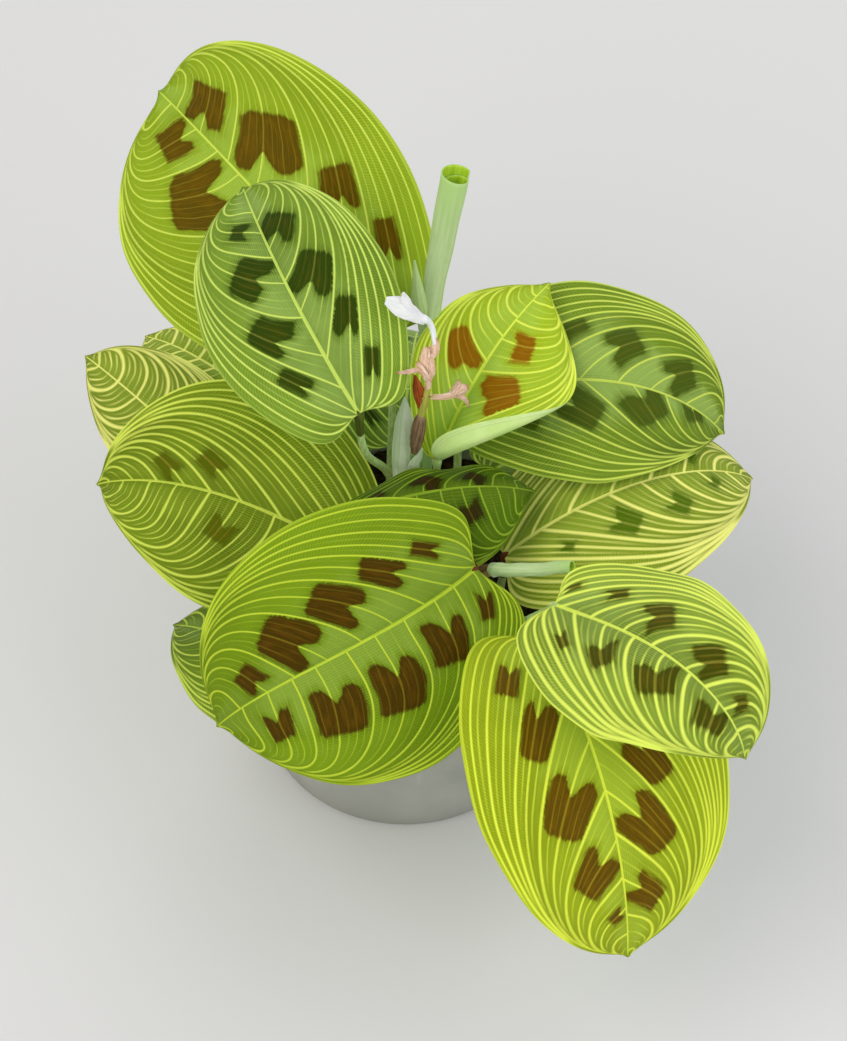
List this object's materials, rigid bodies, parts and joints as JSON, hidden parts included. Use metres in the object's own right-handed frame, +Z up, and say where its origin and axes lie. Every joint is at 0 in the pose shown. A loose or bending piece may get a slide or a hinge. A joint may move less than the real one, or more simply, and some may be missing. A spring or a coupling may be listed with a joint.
{
  "type": "potted prayer plant",
  "caption": "Prayer plant with broad waved oval leaves on slim stalks, rolled young leaves and a small flowering shoot, rooted in soil in a plain tapered round pot.",
  "frame": {"origin": "centre of the pot's flat base", "axes": "+Z up along the pot's axis; -Y is the side towards which the two lowest large leaves hang"},
  "size_m": [0.274, 0.3252, 0.2565],
  "materials": {
    "pot": "satin moulded light grey plastic",
    "soil": "dark moist peat compost",
    "leaf_bright": "satin yellow-green leaf with pale veins and brown blotches",
    "leaf_grey_green": "satin grey-green leaf with yellow veins and dark olive blotches",
    "leaf_olive": "satin olive leaf with dense pale yellow veins",
    "stalk": "pale glaucous green stalks, sheaths and rolled leaves",
    "bract": "dry brown bracts",
    "petal": "thin white petals",
    "faded_petal": "wilted pinkish brown flowers"
  },
  "bodies": {
    "root": {"pot": "pot", "soil": "soil", "leaf_back_tall": "leaf_bright", "leaf_upper_left": "leaf_grey_green", "leaf_behind_left": "leaf_grey_green", "leaf_far_left": "leaf_olive", "leaf_left": "leaf_olive", "leaf_front": "leaf_bright", "leaf_hanging": "leaf_bright", "leaf_front_right": "leaf_grey_green", "leaf_upper_right": "leaf_grey_green", "leaf_young": "leaf_bright", "leaf_right": "leaf_olive", "leaf_folded_small": "leaf_grey_green", "leaf_low_left": "leaf_grey_green", "leaf_back_low": "leaf_grey_green", "leaf_back_right": "leaf_grey_green", "rolled_leaf_tall": "stalk", "rolled_leaf_low": "stalk", "flower_shoot": "stalk", "flower_spindle_bract": "bract", "flower_pedicel": "stalk", "flower_red_bract": "bract", "flower_old": "faded_petal", "flower_bud_bract": "faded_petal", "flower_white": "petal", "flower_withered": "faded_petal"}
  },
  "joints": []
}
